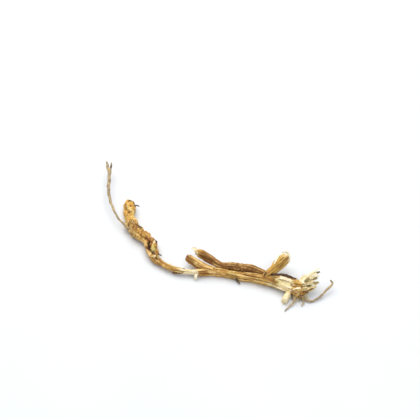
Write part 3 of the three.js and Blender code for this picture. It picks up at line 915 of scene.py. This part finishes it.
# Materials
class Nodes:
    """Makes shader nodes and links them, with few words."""

    def __init__(self, name):
        self.material = bpy.data.materials.new(name)
        self.material.use_nodes = True
        self.tree = self.material.node_tree
        self.shader = self.tree.nodes["Principled BSDF"]

    def node(self, kind, inputs=(), **settings):
        made = self.tree.nodes.new(kind)
        for key, value in settings.items():
            setattr(made, key, value)
        for key, value in dict(inputs).items():
            self.put(made.inputs[key], value)
        return made

    def put(self, socket, value):
        if isinstance(value, bpy.types.NodeSocket):
            self.tree.links.new(value, socket)
        else:
            socket.default_value = value

    def attribute(self, name):
        return self.node("ShaderNodeAttribute", attribute_name=name).outputs

    def number(self, name):
        return self.attribute(name)["Fac"]

    def math(self, operation, *values):
        return self.node("ShaderNodeMath", enumerate(values), operation=operation).outputs[0]

    def mapped(self, value, low, high, to_low=0.0, to_high=1.0):
        inputs = {"Value": value, "From Min": low, "From Max": high}
        inputs.update({"To Min": to_low, "To Max": to_high})
        return self.node("ShaderNodeMapRange", inputs, interpolation_type="SMOOTHSTEP").outputs[0]

    def stretched(self, vector, scale):
        return self.node("ShaderNodeMapping", {"Vector": vector, "Scale": scale}).outputs[0]

    def noise(self, vector, scale, detail=4.0, roughness=0.6):
        inputs = {"Vector": vector, "Scale": scale, "Detail": detail, "Roughness": roughness}
        return self.node("ShaderNodeTexNoise", inputs).outputs[0]

    def mix(self, share, first, second):
        made = self.node("ShaderNodeMix", data_type="RGBA", blend_type="MIX")
        self.put(made.inputs[0], share)
        self.put(made.inputs[6], first)
        self.put(made.inputs[7], second)
        return made.outputs[2]

    def tinted(self, color, name, grain, low, high, tint):
        """The colour with a tint where the attribute is high, broken up by the grain."""
        share = self.math("MULTIPLY", self.number(name), self.mapped(grain, 0.38, 0.6, low, high))
        return self.mix(share, color, tint)

    def finish(self, color, roughness, height, bump, depth):
        self.put(self.shader.inputs["Base Color"], color)
        self.put(self.shader.inputs["Roughness"], roughness)
        inputs = {"Height": height, "Strength": bump, "Distance": depth}
        self.put(self.shader.inputs["Normal"], self.node("ShaderNodeBump", inputs).outputs[0])
        self.shader.inputs["Specular IOR Level"].default_value = 0.3
        return self.material


DARK = linear(54, 30, 16)
BROWN = linear(116, 74, 34)
OCHRE = linear(180, 130, 62)
TAN = linear(232, 194, 124)
GOLDEN = linear(222, 172, 78)
RUSSET = linear(122, 56, 26)
OLIVE_GREEN = linear(116, 106, 56)
STRAW = linear(226, 198, 124)
YELLOW_GREEN = linear(190, 172, 84)
CREAM = linear(244, 230, 194)
GREY_TAN = linear(170, 148, 112)
# Weathered wood, which on the crown also stands for painted shade between the pale strips.
WEATHERED_AND_SHADE = linear(128, 114, 76)
FRESH = linear(240, 224, 184)
UMBER = linear(84, 66, 50)
DEEP_BROWN = linear(70, 48, 26)


def bark_material():
    n = Nodes("root_bark")
    grain = n.attribute("grain")["Vector"]
    place = n.node("ShaderNodeTexCoord").outputs["Object"]
    long_streaks = n.noise(n.stretched(grain, (1.0, 1.0, 0.06)), 0.5, 3.0, 0.55)
    fine_streaks = n.noise(n.stretched(grain, (1.0, 1.0, 0.05)), 2.6, 4.0, 0.7)
    patches = n.noise(place, 300.0, 3.0, 0.6)
    blotches = n.mapped(n.noise(place, 420.0, 4.0, 0.6), 0.35, 0.65, -0.65, 0.5)
    blotches = n.math("MULTIPLY", n.number("knot"), blotches)
    specks = n.noise(place, 1500.0, 3.0, 0.7)
    furrow, crease, hollow = n.number("furrow"), n.number("crease"), n.number("hollow")
    # The furrow and crease terms paint shade into the furrows and creases and painted highlight on the ribs
    # and crests.
    terms = [
        n.mapped(long_streaks, 0.35, 0.65, -0.5, 0.5),
        n.mapped(fine_streaks, 0.3, 0.7, -0.22, 0.22),
        n.mapped(patches, 0.35, 0.65, -0.3, 0.3),
        n.mapped(furrow, 0.0, 1.0, 0.18, -0.55),
        n.mapped(crease, -0.12, 0.12, 0.45, -0.5),
        blotches,
    ]
    light = terms[0]
    for term in terms[1:]:
        light = n.math("ADD", light, term)
    color = n.mix(n.mapped(light, -0.8, 0.1), BROWN, OCHRE)
    color = n.mix(n.mapped(light, 0.1, 1.0), color, TAN)
    color = n.tinted(color, "gold", n.math("ADD", light, 0.5), 0.3, 0.85, GOLDEN)
    color = n.tinted(color, "red", patches, 0.3, 0.85, RUSSET)
    color = n.tinted(color, "olive", specks, 0.2, 0.8, OLIVE_GREEN)
    wood = n.mix(n.mapped(fine_streaks, 0.35, 0.6), STRAW, CREAM)
    wood = n.tinted(wood, "gold", specks, 0.6, 0.9, STRAW)
    wood = n.tinted(wood, "olive", specks, 0.3, 0.8, YELLOW_GREEN)
    torn = n.math("ADD", n.number("bare"), n.mapped(fine_streaks, 0.3, 0.7, -0.22, 0.22))
    # Pale wood on torn and worn places, and painted highlight on the upward crests; from here torn carries
    # both.
    pale_wood_and_highlight = n.math("ADD", n.number("pale"), n.mapped(specks, 0.3, 0.7, -0.35, 0.15))
    torn = n.math("MAXIMUM", torn, pale_wood_and_highlight)
    color = n.mix(n.mapped(torn, 0.4, 0.6), color, wood)
    # Painted shade in the hollows and creases.
    color = n.mix(n.mapped(hollow, 0.15, 0.8, 0.0, 0.8), color, DARK)
    color = n.mix(n.mapped(crease, 0.04, 0.2, 0.0, 0.6), color, DARK)
    # Painted shade along the seams between limbs.
    color = n.mix(n.mapped(n.number("seam"), 0.2, 1.0, 0.0, 0.7), color, DARK)
    # The strand's brown: its own colour in the granular stretch, and painted shade on its front side.
    shaded = n.math("MULTIPLY", n.number("shade"), n.mapped(light, -0.4, 0.6, 0.85, 0.35))
    color = n.mix(shaded, color, BROWN)
    # Painted shade darkens the pits and holes.
    color = n.mix(n.mapped(n.number("pit"), 0.1, 1.0, 0.0, 0.85), color, DARK)
    height = n.math("ADD", n.math("MULTIPLY", fine_streaks, 0.7), n.math("MULTIPLY", specks, 0.3))
    roughness = n.mapped(specks, 0.3, 0.7, 0.68, 0.9)
    return n.finish(color, roughness, height, bump=0.7, depth=0.0003)


def torn_material(name, dark, middle, pale, scale, base=0.7):
    """Torn wood or bark whose tone runs from dark to pale. base is how dark each strip starts, a painted
    shade where it leaves the root.
    """
    n = Nodes(name)
    place = n.node("ShaderNodeTexCoord").outputs["Object"]
    fibres = n.noise(place, scale, 4.0, 0.7)
    tone = n.math("ADD", n.number("tone"), n.mapped(fibres, 0.3, 0.7, -0.3, 0.3))
    color = n.mix(n.mapped(tone, 0.0, 0.5), dark, middle)
    color = n.mix(n.mapped(tone, 0.5, 1.0), color, pale)
    # Painted shade towards the start of each strip, where it leaves the root.
    color = n.mix(n.mapped(n.number("along"), 0.0, 0.45, base, 0.0), color, dark)
    roughness = n.mapped(fibres, 0.3, 0.7, 0.65, 0.85)
    return n.finish(color, roughness, height=fibres, bump=0.5, depth=0.0002)


body.data.materials.append(bark_material())
# The crown's dark splinters are weathered wood and painted shade between the pale strips.
crown.data.materials.append(torn_material("splinter_wood", WEATHERED_AND_SHADE, STRAW, FRESH, 900.0, base=0.3))
rootlets.data.materials.append(torn_material("rootlet_skin", UMBER, GREY_TAN, TAN, 300.0, base=0.25))
shreds.data.materials.append(torn_material("shred_bark", DEEP_BROWN, OCHRE, CREAM, 1400.0))
fibres.data.materials.append(torn_material("fibre_wood", BROWN, GREY_TAN, STRAW, 1600.0, base=0.2))

for piece in (body, crown, rootlets, shreds, fibres):
    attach(piece, BODY)
    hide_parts(NODE)

# Floor, light and camera
# Places and sizes here are in metres, and the camera's lens and sensor in millimetres.
EDGE = 3.0  # how far the floor reaches each way
FLOOR_GREY = (0.72, 0.72, 0.72, 1)
FLOOR_PALE = (0.74, 0.74, 0.735, 1)
SKY = (0.82, 0.89, 1.0, 1)
SKY_STRENGTH = 0.6
floor = new_object(
    "floor",
    np.array([[-EDGE, -EDGE, 0], [EDGE, -EDGE, 0], [EDGE, EDGE, 0], [-EDGE, EDGE, 0]]) / MM,
    [(0, 1, 2, 3)],
)
floor_nodes = Nodes("pale_floor")
floor_place = floor_nodes.node("ShaderNodeTexCoord").outputs["Object"]
floor_mottle = floor_nodes.mapped(floor_nodes.noise(floor_place, 9.0), 0.3, 0.7)
floor_color = floor_nodes.mix(floor_mottle, FLOOR_GREY, FLOOR_PALE)
floor_paint = floor_nodes.finish(floor_color, 0.9, floor_mottle, bump=0.02, depth=0.0001)
floor.data.materials.append(floor_paint)

world = bpy.data.worlds.new("studio")
world.use_nodes = True
world.node_tree.nodes["Background"].inputs["Color"].default_value = SKY
world.node_tree.nodes["Background"].inputs["Strength"].default_value = SKY_STRENGTH
bpy.context.scene.world = world
bpy.context.scene.view_settings.view_transform = "Standard"


def softbox(name, place, size, power, color):
    """An area light that faces the root."""
    data = bpy.data.lights.new(name, "AREA")
    data.size = size
    data.energy = power
    data.color = color
    made = bpy.data.objects.new(name, data)
    made.location = place
    made.rotation_euler = (-Vector(place)).to_track_quat("-Z", "Y").to_euler()
    bpy.context.scene.collection.objects.link(made)


softbox("key", (-0.1, 0.34, 0.66), size=0.9, power=6.6, color=(1.0, 0.98, 0.95))
softbox("fill", (0.2, -0.5, 0.58), size=0.7, power=2.4, color=(0.92, 0.96, 1.0))

LENS = 85
SENSOR = 36
ELEVATION = math.radians(40)
VIEW_WIDTH = 0.252  # how much the camera sees from left to right at AIM
AIM = Vector((-0.00122, 0.02409, 0))
DISTANCE = VIEW_WIDTH / 2 / (SENSOR / 2 / LENS)
camera_data = bpy.data.cameras.new("camera")
camera_data.lens = LENS
camera_data.sensor_width = SENSOR
camera = bpy.data.objects.new("camera", camera_data)
camera.location = AIM + DISTANCE * Vector((0, -math.cos(ELEVATION), math.sin(ELEVATION)))
camera.rotation_euler = (math.pi / 2 - ELEVATION, 0, 0)
bpy.context.scene.collection.objects.link(camera)
bpy.context.scene.camera = camera
